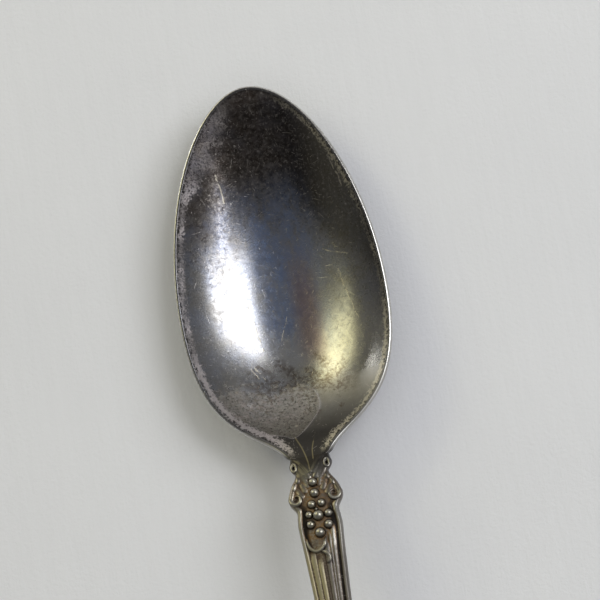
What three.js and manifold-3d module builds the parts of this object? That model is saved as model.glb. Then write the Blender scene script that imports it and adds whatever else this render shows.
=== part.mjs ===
// Ornamental table spoon lying on its back. One struck blank, modelled in its five natural zones:
// bowl, neck, shoulder, stem and handle end. Millimetres, +Z up, +Y towards the bowl's tip.
// Stations run along the spoon from the bowl's tip (0) to the handle's end.
import * as THREE from 'three';
import Module from 'manifold-3d';
import { mergeVertices } from 'three/addons/utils/BufferGeometryUtils.js';

// Zone lengths
const BOWL_LENGTH = 79.6;
const NECK_LENGTH = 3.6;
const SHOULDER_LENGTH = 16.8;
const STEM_LENGTH = 68;
const END_LENGTH = 44;

// Bowl plan
const BOWL_WIDTH = 44;
const BOWL_WIDEST = 46.2;
const TIP_BLUNTNESS = 10.6;
const TIP_FULLNESS = 25.2;
const HEEL_FULLNESS = 18.8;
const HEEL_RUN = 8.4;
const HEEL_ANGLE = THREE.MathUtils.degToRad(54);
const FLARE_LENGTH = 8.2;
const FLARE_RUN = 6.5;
const NECK_RUN = 2;
const FLARE_HALF_WIDTH = 9.1;

// Handle plan, half widths
const NECK_HALF_WIDTH = 3.4;
const SHOULDER_HALF_WIDTH = 4.65;
const SHOULDER_TAPER = 5.8;
const STEM_HALF_WIDTH = 3.1;
const END_HALF_WIDTH = 10.5;
const END_ROUNDING = 11;

// Side view: heights of the top line over the lowest point of the rim
const TIP_LIFT = 0.4;
const HEEL_LIFT = 1.7;
const NECK_LIFT = 5;
const SHOULDER_LIFT = 7.9;
const ARCH_LIFT = 9.2;
const ARCH_FROM_SHOULDER = 27;
const END_LIFT = 2.2;
const END_RISE = 1.5;
const END_DROP = 1.1;
const BOWL_DEPTH = 9.5;
const WALL_ROUNDNESS = 1.25;
const HOLLOW_RUNOUT = 6;

// Thicknesses and edges
const BOWL_WALL = 1.2;
const RIM_GAIN = 0.45;
const NECK_RIDGE = 1.9;
const RIDGE_HALF_WIDTH = 9;
const RIDGE_LENGTH = 24;
const STEM_THICKNESS = 2.6;
const END_THICKNESS = 2;
const EDGE_RADIUS = 0.6;
const EDGE_SQUARENESS = 2.2;
const CROWN = 0.35;
const WORN_DEPTH = 0.15;

// Ornament
const COLLAR_SCROLL_RADIUS = 0.85;
const COLLAR_SCROLL_HEIGHT = 1.6;
const VOLUTE_RADIUS = 1.8;
const VOLUTE_EYE_RADIUS = 0.8;
const VOLUTE_HEIGHT = 2.2;
const VOLUTE_FROM_NECK = 4.7;
const VOLUTE_OVERHANG = 0.9;
const SCROLL_TAPER = 0.85;
const ORNAMENT_RAISE = 0.25;
const BERRY_RADIUS = 0.78;
const BERRY_SPREAD = 1.95;
const BERRY_SHOW = 0.19;
const CLUSTER_GAP = 1.75;
const CLUSTER_TAIL = 4;
const END_BERRY_PITCH = 2.3;
const END_VOLUTE_X = 5.2;
const END_VOLUTE_FROM_STEM = 14.6;
const BERRY_ROWS = [1, 1, 2, 3, 2, 1];
const END_BERRY_ROWS = [1, 2, 3, 2, 1];

// Mesh fineness
const COLUMNS = 20;
const BOWL_ROWS = 30;
const HANDLE_ROW = 4;
const END_ROWS = 8;
const CURVE_SAMPLES = 160;
const SLOPE_STEP = 0.01;
const WELD = 0.001;
const SCROLL_SIDES = 16;
const BERRY_DETAIL = 1;

// Stations where one zone meets the next
const NECK_START = BOWL_LENGTH;
const SHOULDER_START = NECK_START + NECK_LENGTH;
const STEM_START = SHOULDER_START + SHOULDER_LENGTH;
const END_START = STEM_START + STEM_LENGTH;
const LENGTH = END_START + END_LENGTH;

const RIM_LOW = BOWL_DEPTH + BOWL_WALL - WORN_DEPTH;
const ARCH_STATION = STEM_START + ARCH_FROM_SHOULDER;
const END_WIDEST = LENGTH - END_ROUNDING;

const SILVER = { color: 0x8a8780, roughness: 0.35, metalness: 1 };
const TARNISHED = { color: 0x6e6252, roughness: 0.5, metalness: 1 };

const wasm = await Module();
wasm.setup();

const clamp01 = (value) => THREE.MathUtils.clamp(value, 0, 1);
const smooth = (from, to, value) => THREE.MathUtils.smoothstep(value, from, to);
const yAt = (station) => LENGTH / 2 - station;

// A smooth curve through [station, value] knots
function through(knots) {
  const slope = knots.map((knot, i) => {
    const before = knots[Math.max(i - 1, 0)];
    const after = knots[Math.min(i + 1, knots.length - 1)];
    return (after[1] - before[1]) / (after[0] - before[0]);
  });
  return (station) => {
    let i = 0;
    while (i < knots.length - 2 && station > knots[i + 1][0]) i += 1;
    const [x0, v0] = knots[i];
    const [x1, v1] = knots[i + 1];
    const run = x1 - x0;
    const t = clamp01((station - x0) / run);
    const bend = t * t * (3 - 2 * t);
    const lead = t * (1 - t) * (1 - t) * run * slope[i];
    const trail = t * t * (t - 1) * run * slope[i + 1];
    return v0 + (v1 - v0) * bend + lead + trail;
  };
}

const topLift = through([
  [0, TIP_LIFT],
  [BOWL_WIDEST, 0],
  [NECK_START - HOLLOW_RUNOUT, HEEL_LIFT],
  [SHOULDER_START, NECK_LIFT],
  [STEM_START, SHOULDER_LIFT],
  [ARCH_STATION, ARCH_LIFT],
  [END_START, END_LIFT],
  [END_WIDEST, END_THICKNESS + END_RISE - RIM_LOW],
  [LENGTH, END_THICKNESS - END_DROP - RIM_LOW],
]);

const handleThickness = through([
  [SHOULDER_START, BOWL_WALL + NECK_RIDGE],
  [STEM_START, BOWL_WALL + NECK_RIDGE],
  [ARCH_STATION, STEM_THICKNESS],
  [END_START, (STEM_THICKNESS + END_THICKNESS) / 2],
  [LENGTH, END_THICKNESS],
]);

// Half outline of the whole spoon, as points of [station, half width squared]
function outline() {
  const v = (x, y) => new THREE.Vector2(x, y);
  const half = BOWL_WIDTH / 2;
  const flare = v(SHOULDER_START - FLARE_LENGTH, FLARE_HALF_WIDTH);
  const heel = v(Math.cos(HEEL_ANGLE), -Math.sin(HEEL_ANGLE));
  const back = flare.clone().addScaledVector(heel, -HEEL_RUN);
  const ahead = flare.clone().addScaledVector(heel, FLARE_RUN);
  const neck = v(SHOULDER_START, NECK_HALF_WIDTH);
  const stemMiddle = v(ARCH_STATION, STEM_HALF_WIDTH);
  const shoulder = v(STEM_START - SHOULDER_TAPER, SHOULDER_HALF_WIDTH);
  const widest = v(END_WIDEST, END_HALF_WIDTH);
  const end = v(LENGTH, 0);
  const shifted = (point, x, y = 0) => v(point.x + x, point.y + y);
  const bezier = (...points) => new THREE.CubicBezierCurve(...points);
  const curves = [
    bezier(v(0, 0), v(0, TIP_BLUNTNESS), v(BOWL_WIDEST - TIP_FULLNESS, half), v(BOWL_WIDEST, half)),
    bezier(v(BOWL_WIDEST, half), v(BOWL_WIDEST + HEEL_FULLNESS, half), back, flare),
    bezier(flare, ahead, shifted(neck, -NECK_RUN), neck),
    bezier(neck, shifted(neck, SHOULDER_LENGTH / 5), shifted(shoulder, -SHOULDER_LENGTH / 3), shoulder),
    bezier(shoulder, shifted(shoulder, SHOULDER_LENGTH / 2), shifted(stemMiddle, -STEM_LENGTH / 3), stemMiddle),
    bezier(stemMiddle, shifted(stemMiddle, STEM_LENGTH / 2), shifted(widest, -END_LENGTH / 2), widest),
    bezier(widest, shifted(widest, END_ROUNDING / 2), shifted(end, 0, END_HALF_WIDTH / 2), end),
  ];
  const points = curves.flatMap((curve) => curve.getPoints(CURVE_SAMPLES));
  return points.map((point) => [point.x, point.y * point.y]);
}

const OUTLINE = outline();

// Half width squared at a station
function widthSquared(station) {
  let low = 0;
  let high = OUTLINE.length - 1;
  while (high - low > 1) {
    const middle = (low + high) >> 1;
    if (OUTLINE[middle][0] <= station) low = middle;
    else high = middle;
  }
  const [x0, v0] = OUTLINE[low];
  const [x1, v1] = OUTLINE[high];
  return x1 > x0 ? THREE.MathUtils.mapLinear(station, x0, x1, v0, v1) : v0;
}

const halfWidth = (station) => Math.sqrt(Math.max(widthSquared(station), 0));

// Distance in plan from a point to the outline
function edgeDistance(x, station) {
  const change = widthSquared(station + SLOPE_STEP) - widthSquared(station - SLOPE_STEP);
  const inside = Math.max(widthSquared(station) - x * x, 0);
  return inside / Math.max(Math.hypot(change / (2 * SLOPE_STEP), 2 * x), SLOPE_STEP);
}

// Heights of the top and the underside at a point in plan
function surfaces(x, station) {
  const bowlShare = 1 - smooth(NECK_START - HOLLOW_RUNOUT, SHOULDER_START, station);
  const fill = clamp01((widthSquared(station) - x * x) / (BOWL_WIDTH / 2) ** 2);
  const hollow = BOWL_DEPTH * (1 - (1 - fill) ** WALL_ROUNDNESS) * bowlShare;
  const crown = CROWN * (1 - bowlShare) * clamp01(1 - x * x / Math.max(widthSquared(station), EDGE_RADIUS));
  const top = RIM_LOW + topLift(station) - hollow + crown;
  const ridgeRise = smooth(SHOULDER_START - RIDGE_LENGTH, SHOULDER_START, station);
  const ridge = NECK_RIDGE * ridgeRise * (1 - smooth(0, RIDGE_HALF_WIDTH, Math.abs(x)));
  const bowlWall = BOWL_WALL * (1 + RIM_GAIN * (1 - fill) ** 2) + ridge;
  const wall = THREE.MathUtils.lerp(handleThickness(station), bowlWall, bowlShare);
  const near = clamp01(edgeDistance(x, station) / (EDGE_RADIUS + (1 - bowlShare) * EDGE_RADIUS));
  const round = 1 - (1 - (1 - near) ** EDGE_SQUARENESS) ** (1 / EDGE_SQUARENESS);
  const under = Math.max(top - wall * (1 - round / 2), 0);
  return [Math.max(top - (wall * round) / 2, under), under];
}

// A closed solid between two stations, from rows of top and underside points
function zoneGeometry(stations) {
  const columns = Array.from({ length: COLUMNS + 1 }, (_, k) => Math.sin((k / COLUMNS - 0.5) * Math.PI));
  const vertices = [];
  const known = new Map();
  const vertex = (x, y, z) => {
    const key = [x, y, z].map((value) => value.toFixed(3)).join();
    if (!known.has(key)) {
      known.set(key, vertices.length / 3);
      vertices.push(x, y, z);
    }
    return known.get(key);
  };
  const rows = stations.map((station) => columns.map((share) => {
    const x = share * halfWidth(station);
    const [top, under] = surfaces(x, station);
    const closed = Math.abs(share) === 1 || halfWidth(station) === 0;
    const edge = (top + under) / 2;
    return [vertex(x, yAt(station), closed ? edge : top), vertex(x, yAt(station), closed ? edge : under)];
  }));
  const faces = [];
  const quad = (a, b, c, d) => {
    for (const face of [[a, b, c], [a, c, d]]) {
      if (new Set(face).size === 3) faces.push(...face);
    }
  };
  for (let k = 0; k < COLUMNS; k += 1) {
    for (let i = 0; i < rows.length - 1; i += 1) {
      const [a, b, c, d] = [rows[i][k], rows[i + 1][k], rows[i + 1][k + 1], rows[i][k + 1]];
      quad(a[0], b[0], c[0], d[0]);
      quad(d[1], c[1], b[1], a[1]);
    }
    const [first, last] = [rows[0], rows[rows.length - 1]];
    quad(first[k][1], first[k][0], first[k + 1][0], first[k + 1][1]);
    quad(last[k][0], last[k][1], last[k + 1][1], last[k + 1][0]);
  }
  const geometry = new THREE.BufferGeometry();
  geometry.setAttribute('position', new THREE.Float32BufferAttribute(vertices, 3));
  geometry.setIndex(faces);
  return geometry;
}

const evenStations = (from, to) => {
  const count = Math.ceil((to - from) / HANDLE_ROW);
  return Array.from({ length: count + 1 }, (_, i) => from + ((to - from) * i) / count);
};

const bowlStations = () => Array.from({ length: BOWL_ROWS + 1 }, (_, i) => (
  (BOWL_LENGTH * (1 - Math.cos((Math.PI * i) / BOWL_ROWS))) / 2
));

// Rows that close up towards the rounded tip of the handle
const endStations = () => [
  ...evenStations(END_START, END_WIDEST),
  ...Array.from({ length: END_ROWS }, (_, i) => (
    END_WIDEST + END_ROUNDING * Math.sin(((i + 1) / END_ROWS) * (Math.PI / 2))
  )),
];

function toSolid(geometry) {
  const bare = geometry.clone();
  bare.deleteAttribute('normal');
  bare.deleteAttribute('uv');
  const merged = mergeVertices(bare, WELD);
  return new wasm.Manifold(new wasm.Mesh({
    numProp: 3,
    vertProperties: new Float32Array(merged.attributes.position.array),
    triVerts: new Uint32Array(merged.index.array),
  }));
}

function joined(base, ornaments) {
  const solid = ornaments.reduce((sum, ornament) => sum.add(toSolid(ornament)), toSolid(base));
  const mesh = solid.getMesh();
  const geometry = new THREE.BufferGeometry();
  geometry.setAttribute('position', new THREE.BufferAttribute(mesh.vertProperties, 3));
  geometry.setIndex(new THREE.BufferAttribute(mesh.triVerts, 1));
  return geometry;
}

// A round scroll boss whose flat top stands over the surface by ORNAMENT_RAISE
function scroll(x, station, radius, height, raise) {
  const [top] = surfaces(x, station);
  const geometry = new THREE.CylinderGeometry(radius * SCROLL_TAPER, radius, height, SCROLL_SIDES);
  geometry.rotateX(Math.PI / 2);
  geometry.translate(x, yAt(station), top + raise - height / 2);
  return geometry;
}

function scrollPair(x, station, radius, height) {
  return [-x, x].map((side) => scroll(side, station, radius, height, ORNAMENT_RAISE));
}

function volutePair(x, station) {
  const eyes = [-x, x].map((side) => (
    scroll(side, station, VOLUTE_EYE_RADIUS, VOLUTE_HEIGHT, 2 * ORNAMENT_RAISE)
  ));
  return [...scrollPair(x, station, VOLUTE_RADIUS, VOLUTE_HEIGHT), ...eyes];
}

// A cluster of berries in rows across the handle, each a bead sunk into the surface
function berries(start, pitch, rows) {
  return rows.flatMap((count, row) => Array.from({ length: count }, (_, i) => {
    const x = (i - (count - 1) / 2) * BERRY_SPREAD;
    const station = start + row * pitch;
    const [top] = surfaces(x, station);
    const bead = new THREE.IcosahedronGeometry(BERRY_RADIUS, BERRY_DETAIL);
    bead.translate(x, yAt(station), top + BERRY_SHOW);
    return bead;
  }));
}

function piece(name, geometry, finish) {
  geometry.computeVertexNormals();
  const mesh = new THREE.Mesh(geometry, new THREE.MeshStandardMaterial(finish));
  mesh.name = name;
  return mesh;
}

const bowl = () => piece('bowl', zoneGeometry(bowlStations()), SILVER);

function neck() {
  const base = zoneGeometry([NECK_START, NECK_START + NECK_LENGTH / 2, SHOULDER_START]);
  const scrolls = scrollPair(
    NECK_HALF_WIDTH, NECK_START + NECK_LENGTH / 2, COLLAR_SCROLL_RADIUS, COLLAR_SCROLL_HEIGHT);
  return piece('neck', joined(base, scrolls), TARNISHED);
}

function shoulder() {
  const base = zoneGeometry(evenStations(SHOULDER_START, STEM_START));
  const volutes = volutePair(SHOULDER_HALF_WIDTH - VOLUTE_OVERHANG, SHOULDER_START + VOLUTE_FROM_NECK);
  const pitch = (SHOULDER_LENGTH - CLUSTER_GAP - CLUSTER_TAIL) / (BERRY_ROWS.length - 1);
  const cluster = berries(SHOULDER_START + CLUSTER_GAP, pitch, BERRY_ROWS);
  return piece('shoulder', joined(base, [...volutes, ...cluster]), TARNISHED);
}

const stem = () => piece('stem', zoneGeometry(evenStations(STEM_START, END_START)), SILVER);

function handleEnd() {
  const base = zoneGeometry(endStations());
  const volutes = volutePair(END_VOLUTE_X, END_START + END_VOLUTE_FROM_STEM);
  const clusterStart = END_WIDEST - END_BERRY_PITCH * (END_BERRY_ROWS.length - 1);
  const cluster = berries(clusterStart, END_BERRY_PITCH, END_BERRY_ROWS);
  return piece('handle_end', joined(base, [...volutes, ...cluster]), TARNISHED);
}

const spoon = new THREE.Group();
spoon.name = 'table_spoon';
spoon.add(bowl(), neck(), shoulder(), stem(), handleEnd());

export default spoon;
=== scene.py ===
import math

import bpy
import numpy as np
from mathutils import Matrix, Vector


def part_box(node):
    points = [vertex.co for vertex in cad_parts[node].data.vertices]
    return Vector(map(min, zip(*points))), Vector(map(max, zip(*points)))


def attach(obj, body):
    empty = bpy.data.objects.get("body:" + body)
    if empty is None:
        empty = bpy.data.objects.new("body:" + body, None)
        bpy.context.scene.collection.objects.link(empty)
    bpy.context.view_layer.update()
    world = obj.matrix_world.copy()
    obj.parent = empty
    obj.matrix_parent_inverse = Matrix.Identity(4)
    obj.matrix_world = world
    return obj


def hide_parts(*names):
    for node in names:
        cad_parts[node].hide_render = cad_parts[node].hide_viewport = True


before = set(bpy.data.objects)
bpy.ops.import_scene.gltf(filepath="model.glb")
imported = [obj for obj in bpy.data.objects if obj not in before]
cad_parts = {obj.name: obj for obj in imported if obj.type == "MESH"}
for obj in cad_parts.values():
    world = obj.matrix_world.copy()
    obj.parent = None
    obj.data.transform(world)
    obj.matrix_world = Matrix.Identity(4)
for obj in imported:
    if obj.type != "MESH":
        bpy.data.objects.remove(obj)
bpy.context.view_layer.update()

# An old silver-plated table spoon. Shapes are worked out in millimetres on a plan of the spoon:
# x runs across it, and a station runs along it from the bowl's tip to the handle's end.
MM = 0.001
ZONES = ("bowl", "neck", "shoulder", "stem", "handle_end")
ZONE_BOX = {zone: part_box(zone) for zone in ZONES}
TIP_Y = ZONE_BOX["bowl"][1].y / MM
LENGTH = TIP_Y - ZONE_BOX["handle_end"][0].y / MM
START = {zone: TIP_Y - ZONE_BOX[zone][1].y / MM for zone in ZONES}
NECK_START = START["neck"]
SHOULDER_START = START["shoulder"]
STEM_START = START["stem"]
END_START = START["handle_end"]

# Bowl plan
BOWL_HALF_WIDTH = ZONE_BOX["bowl"][1].x / MM
BOWL_WIDEST = 46.2
TIP_BLUNTNESS = 10.6
TIP_FULLNESS = 25.2
HEEL_FULLNESS = 18.8
HEEL_RUN = 8.4
HEEL_ANGLE = math.radians(54)
FLARE_AHEAD = 8.2
FLARE_HALF_WIDTH = 9.1
FLARE_RUN = 6.5
WAIST_HALF_WIDTH = 3.45
WAIST_RUN = 2.0
END_HALF_WIDTH = ZONE_BOX["handle_end"][1].x / MM
END_ROUNDING = 11.0
END_WIDEST = LENGTH - END_ROUNDING

# Side view and walls
BOWL_DEPTH = 9.5
BOWL_WALL = 1.2
WORN_DEPTH = 0.15
RIM_LOW = BOWL_DEPTH + BOWL_WALL - WORN_DEPTH
WALL_ROUNDNESS = 1.25
HOLLOW_RUNOUT = 6.0
RIM_GAIN = 0.45
NECK_RIDGE = 1.9
RIDGE_HALF_WIDTH = 9.0
RIDGE_LENGTH = 24.0
RIM_LAND = 0.8
RIM_SOFTNESS = 0.0035
EDGE_RADIUS = 0.55
HANDLE_EDGE_RADIUS = 0.5
UNDER_EDGE_RADIUS = 0.85
HANDLE_UNDER_RADIUS = 1.25
EDGE_SHARE = 0.5
EDGE_SQUARENESS = 2.2
CROWN = 0.35

# Mesh rows and columns
ROW_STEP = {"bowl": 0.36, "neck": 0.07, "shoulder": 0.08, "stem": 0.25, "handle_end": 0.2}
EDGE_COLUMNS = (0, 0.03, 0.07, 0.12, 0.18, 0.25, 0.33, 0.42, 0.5, 0.58, 0.66, 0.73, 0.8, 0.87, 0.95,
                1.05, 1.2, 1.4, 1.7, 2.0)
FIELD_COLUMNS = 40
BEAD_SIDES = 14
LINE_POINTS = 90
BERRY_DETAIL = 4
TIP_SPINE = 9.0

# Marks that the finishes read
HOLLOW_PASSES = 40
FULL_HOLLOW = 0.07
BERRY_SHADE = 0.22
HANDLE_MARKS = (79.2, 81)
OLIVE_START = (56, 68)
OLIVE_END = (82.5, 83.2)
THROAT_TAPER = ((79.6, 82.9), (2.6, 0))
FAR_AWAY = 9


def through(knots):
    """A smooth curve through (station, value) knots."""
    stations, values = np.array(knots, float).T
    after = np.minimum(np.arange(len(knots)) + 1, len(knots) - 1)
    before = np.maximum(np.arange(len(knots)) - 1, 0)
    slopes = (values[after] - values[before]) / (stations[after] - stations[before])

    def curve(station):
        i = np.clip(np.searchsorted(stations, station, side="right") - 1, 0, len(stations) - 2)
        run = stations[i + 1] - stations[i]
        t = np.clip((station - stations[i]) / run, 0, 1)
        bend = t * t * (3 - 2 * t)
        lead = t * (1 - t) ** 2 * run * slopes[i]
        trail = t * t * (t - 1) * run * slopes[i + 1]
        return values[i] + (values[i + 1] - values[i]) * bend + lead + trail

    return curve


def smooth(low, high, value):
    t = np.clip((value - low) / (high - low), 0, 1)
    return t * t * (3 - 2 * t)


def bezier(a, b, c, d, count=160):
    t = np.linspace(0, 1, count)[:, None]
    a, b, c, d = (np.array(p, float) for p in (a, b, c, d))
    return (1 - t) ** 3 * a + 3 * (1 - t) ** 2 * t * b + 3 * (1 - t) * t * t * c + t ** 3 * d


top_lift = through([
    (0, 0.4), (BOWL_WIDEST, 0), (NECK_START - HOLLOW_RUNOUT, 1.7), (SHOULDER_START, 5),
    (STEM_START, 7.9), (STEM_START + 27, 9.2), (END_START, 2.2), (END_WIDEST, 3.5 - RIM_LOW),
    (LENGTH, 0.9 - RIM_LOW),
])

handle_thickness = through([
    (SHOULDER_START, 3.1), (STEM_START, 3.1), (STEM_START + 27, 2.6), (END_START, 2.3),
    (LENGTH, 2.0),
])

handle_half_width = through([
    (NECK_START, 4.0), (80.4, 4.15), (81.3, 4.4), (82.2, 4.1), (83.3, 3.45), (85.5, 4.7),
    (87.6, 5.5), (88.4, 5.55), (89.4, 5.25), (90.9, 4.3), (92.4, 4.4), (94.3, 4.5), (99.6, 4.15),
    (110.8, 3.6), (127, 3.1), (150, 3.9), (END_START, 6.6), (185, 9.4),
    (END_WIDEST, END_HALF_WIDTH),
])


def bowl_outline(end):
    """Half outline of the bowl as (station, half width), run out to the neck's waist."""
    flare = np.array([SHOULDER_START - FLARE_AHEAD, FLARE_HALF_WIDTH])
    heel = np.array([math.cos(HEEL_ANGLE), -math.sin(HEEL_ANGLE)])
    half = BOWL_HALF_WIDTH
    tip = bezier((0, 0), (0, TIP_BLUNTNESS), (BOWL_WIDEST - TIP_FULLNESS, half), (BOWL_WIDEST, half))
    side = bezier((BOWL_WIDEST, half), (BOWL_WIDEST + HEEL_FULLNESS, half), flare - HEEL_RUN * heel, flare)
    waist = (SHOULDER_START, WAIST_HALF_WIDTH)
    throat = bezier(flare, flare + FLARE_RUN * heel, (SHOULDER_START - WAIST_RUN, WAIST_HALF_WIDTH), waist)
    line = np.vstack([tip, side[1:], throat[1:]])
    return line[line[:, 0] <= end]


def handle_outline():
    stations = np.arange(NECK_START, END_WIDEST, 0.1)
    widths = handle_half_width(stations)
    half = END_HALF_WIDTH
    shoulder = (END_WIDEST + END_ROUNDING / 2, half)
    rounded = bezier((END_WIDEST, half), shoulder, (LENGTH, half / 2), (LENGTH, 0))
    return np.vstack([np.column_stack([stations, widths]), rounded])


SMOOTH_OUTLINE = np.vstack([bowl_outline(SHOULDER_START), (LENGTH, WAIST_HALF_WIDTH)])
OUTLINE = np.vstack([bowl_outline(NECK_START - 0.4), handle_outline()])
OUTLINE_SQUARED = OUTLINE[:, 1] ** 2
SLOPE = np.gradient(OUTLINE_SQUARED, np.maximum.accumulate(OUTLINE[:, 0] + np.arange(len(OUTLINE)) * 1e-7))


def width_squared(station):
    return np.interp(station, OUTLINE[:, 0], OUTLINE_SQUARED)


def edge_distance(x, station):
    """Distance in plan from a point to the outline, and the steepness it was worked out from."""
    steepness = np.maximum(np.hypot(np.interp(station, OUTLINE[:, 0], SLOPE), 2 * x), 0.01)
    return np.maximum(width_squared(station) - x * x, 0) / steepness, steepness


def field_height(x, station):
    """Height of the top surface before its edges are rounded, without ornament."""
    bowl_share = 1 - smooth(NECK_START - HOLLOW_RUNOUT, SHOULDER_START, station)
    smooth_width = np.interp(station, SMOOTH_OUTLINE[:, 0], SMOOTH_OUTLINE[:, 1] ** 2)
    steepness = edge_distance(x, station)[1]
    fill = (smooth_width - x * x - RIM_LAND * steepness) / BOWL_HALF_WIDTH ** 2
    fill = (fill + np.sqrt(fill ** 2 + RIM_SOFTNESS ** 2)) / 2
    fill = np.clip(fill, 0, 1)
    hollow = BOWL_DEPTH * (1 - (1 - fill) ** WALL_ROUNDNESS) * bowl_share
    crown = CROWN * (1 - bowl_share) * np.clip(1 - x * x / np.maximum(width_squared(station), 1), 0, 1)
    return RIM_LOW + top_lift(station) - hollow + crown, fill, bowl_share


def ridge(distance, half_width):
    """A rounded ridge, one high on its line and nothing beyond its half width."""
    return np.clip(1 - (distance / half_width) ** 2, 0, 1) ** 0.75


def soft_line(points, count=40):
    """A smooth plan line through (x, station) points."""
    marks = np.linspace(0, len(points) - 1, count)
    return np.column_stack([through(list(enumerate(values)))(marks) for values in zip(*points)])


def signed_reach(x, station, line):
    """Distance in plan to a line, above nothing on its right-hand side as it is drawn."""
    nearest = np.full(x.shape, np.inf)
    found = np.zeros(x.shape)
    for (x0, u0), (x1, u1) in zip(line[:-1], line[1:]):
        run_x, run_u = x1 - x0, u1 - u0
        share = np.clip(((x - x0) * run_x + (station - u0) * run_u) / (run_x ** 2 + run_u ** 2), 0, 1)
        away_x, away_u = x - x0 - share * run_x, station - u0 - share * run_u
        reach = np.hypot(away_x, away_u)
        closer = reach < nearest
        nearest = np.where(closer, reach, nearest)
        found = np.where(closer, np.sign(run_x * away_u - run_u * away_x) * reach, found)
    return found


# Ornament stamped in the handle
VOLUTE_STATION = 88.1
VOLUTE_ACROSS = 3.85
VOLUTE_RADIUS = 1.75
VOLUTE_RISE = 0.08
VOLUTE_EYE = 0.25
VOLUTE_COIL = 1.36
VOLUTE_CLOSING = 1.0
VOLUTE_ENDS = math.radians(400)
VOLUTE_LEAD = 83.1
VOLUTE_INSET = 0.42
VOLUTE_SINK = 0.06
POINTED = 0.04
RING_STATION = 81.6
RING_ACROSS = 3.4
RING_COLLAR = (0.75, 1.15)
RING_RISE = 0.15
RING_EYE = 0.4
RING_PATH = (0.5, 0.85)
RING_THICKNESS = 0.27
RING_LIFT = 0.05
BERRY_LIFT = 0.4
END_ORNAMENT = 203.0
END_SCALE = 1.5
BERRIES = ((-2.9, 0, 0.84), (-0.63, 0, 0.86), (1.6, -0.95, 0.80), (1.6, 1.05, 0.78), (2.7, -0.2, 0.34),
           (3.6, -1.8, 0.72), (4.0, 0.05, 1.04), (3.9, 2.1, 0.80), (5.65, -1.75, 0.80), (6.1, 1.8, 0.86),
           (7.5, -0.15, 0.96))
CURL = ((0.8, 96.6), (0.61, 97.4), (0.25, 98.3), (-0.63, 99.05), (-1.7, 99.2), (-2.6, 98.5), (-3.0, 97.5),
        (-3.1, 96.3))
CURL_THICKNESS = 0.36
CURL_LIFT = 0.7
HOOK = ((-0.5, 99.4), (0.3, 99.7), (0.9, 100.5), (0.86, 101.4), (0.25, 101.9))
HOOK_THICKNESS = 0.46
LEAF_RIBS = (((2.9, 82.6), (1.9, 84.0), (1.2, 85.6)), ((3.6, 83.4), (2.6, 84.9), (1.9, 86.6)),
             ((4.4, 85.0), (3.4, 86.3), (2.6, 87.6)))
THROAT_RIBS = (((3.1, 79.2), (1.7, 80.9), (0.4, 82.8)), ((2.3, 81.6), (1.5, 82.9), (0.8, 84.0)))
REEDS = ((-0.82, 0.24, 98.6), (-0.4, 0.2, 100.4), (0.24, 0.2, 97.0), (0.5, 0.09, 95.0), (0.72, 0.15, 93.0))
REED_RISE = 0.2
REED_INSET = 1.1
REED_FADE = 2.5
REED_END = END_START + 9
GROUND_DEPTH = 0.24
GROUND_MARGIN = (0.75, 1.4)
GROUND_START = (83, 85.5)
ORNAMENT_START = (79.4, 80.2)
BORDER_START = (90.3, 93.0)
BORDER_REACH = 0.5
BORDER_HALF_WIDTH = 0.55
BORDER_RISE = 0.1
LEAF_RISE = 0.13
LEAF_HALF_WIDTH = 0.6
STAIN_EDGE = ((-8.5, 73.0), (-4.5, 74.2), (-2.35, 75.0), (0.8, 72.5), (3.2, 69.3), (3.3, 66.6), (2.2, 64.2),
              (-0.5, 62.5), (-5, 61), (-13, 60))
FOLD = ((-2.35, 75), (-1.2, 77.6), (-0.4, 80.5), (-0.2, 82.6))
SHORT_FOLD = ((1.3, 76.4), (0.86, 78.2), (0.8, 80.2))


def relief(x, station):
    """Height of the stamped ornament over the handle's plain top."""
    reach = edge_distance(x, station)[0]
    half = np.sqrt(width_squared(station))
    bordered = smooth(*BORDER_START, station)
    sunk = smooth(*GROUND_MARGIN, reach) * smooth(*GROUND_START, station)
    height = BORDER_RISE * bordered * ridge(reach - BORDER_REACH, BORDER_HALF_WIDTH) - GROUND_DEPTH * sunk
    share = x / np.maximum(half - REED_INSET, 1)
    for place, width, start in REEDS:
        shown = smooth(start, start + REED_FADE, station) * (1 - smooth(END_START, REED_END, station))
        height = height + REED_RISE * shown * ridge(share - place, width)
    for line in LEAF_RIBS + THROAT_RIBS:
        for drawn in (line, [(-across, u) for across, u in line]):
            away = signed_reach(x, station, soft_line(drawn, 12))
            height = height + LEAF_RISE * ridge(away, LEAF_HALF_WIDTH)
    for place, scale in ((VOLUTE_STATION, 1), (END_ORNAMENT, END_SCALE)):
        away = np.hypot(np.abs(x) - VOLUTE_ACROSS * scale, station - place) / (VOLUTE_RADIUS * scale)
        height = height + VOLUTE_RISE * scale * (1 - smooth(0.5, 1.0, away))
        height = height - VOLUTE_EYE * scale * (1 - smooth(0.08, 0.3, away))
    ring = np.hypot((np.abs(x) - RING_ACROSS) / RING_COLLAR[0], (station - RING_STATION) / RING_COLLAR[1])
    height = height + RING_RISE * (1 - smooth(0.6, 1, ring)) - RING_EYE * (1 - smooth(0.1, 0.4, ring))
    return height * smooth(*ORNAMENT_START, station)


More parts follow.
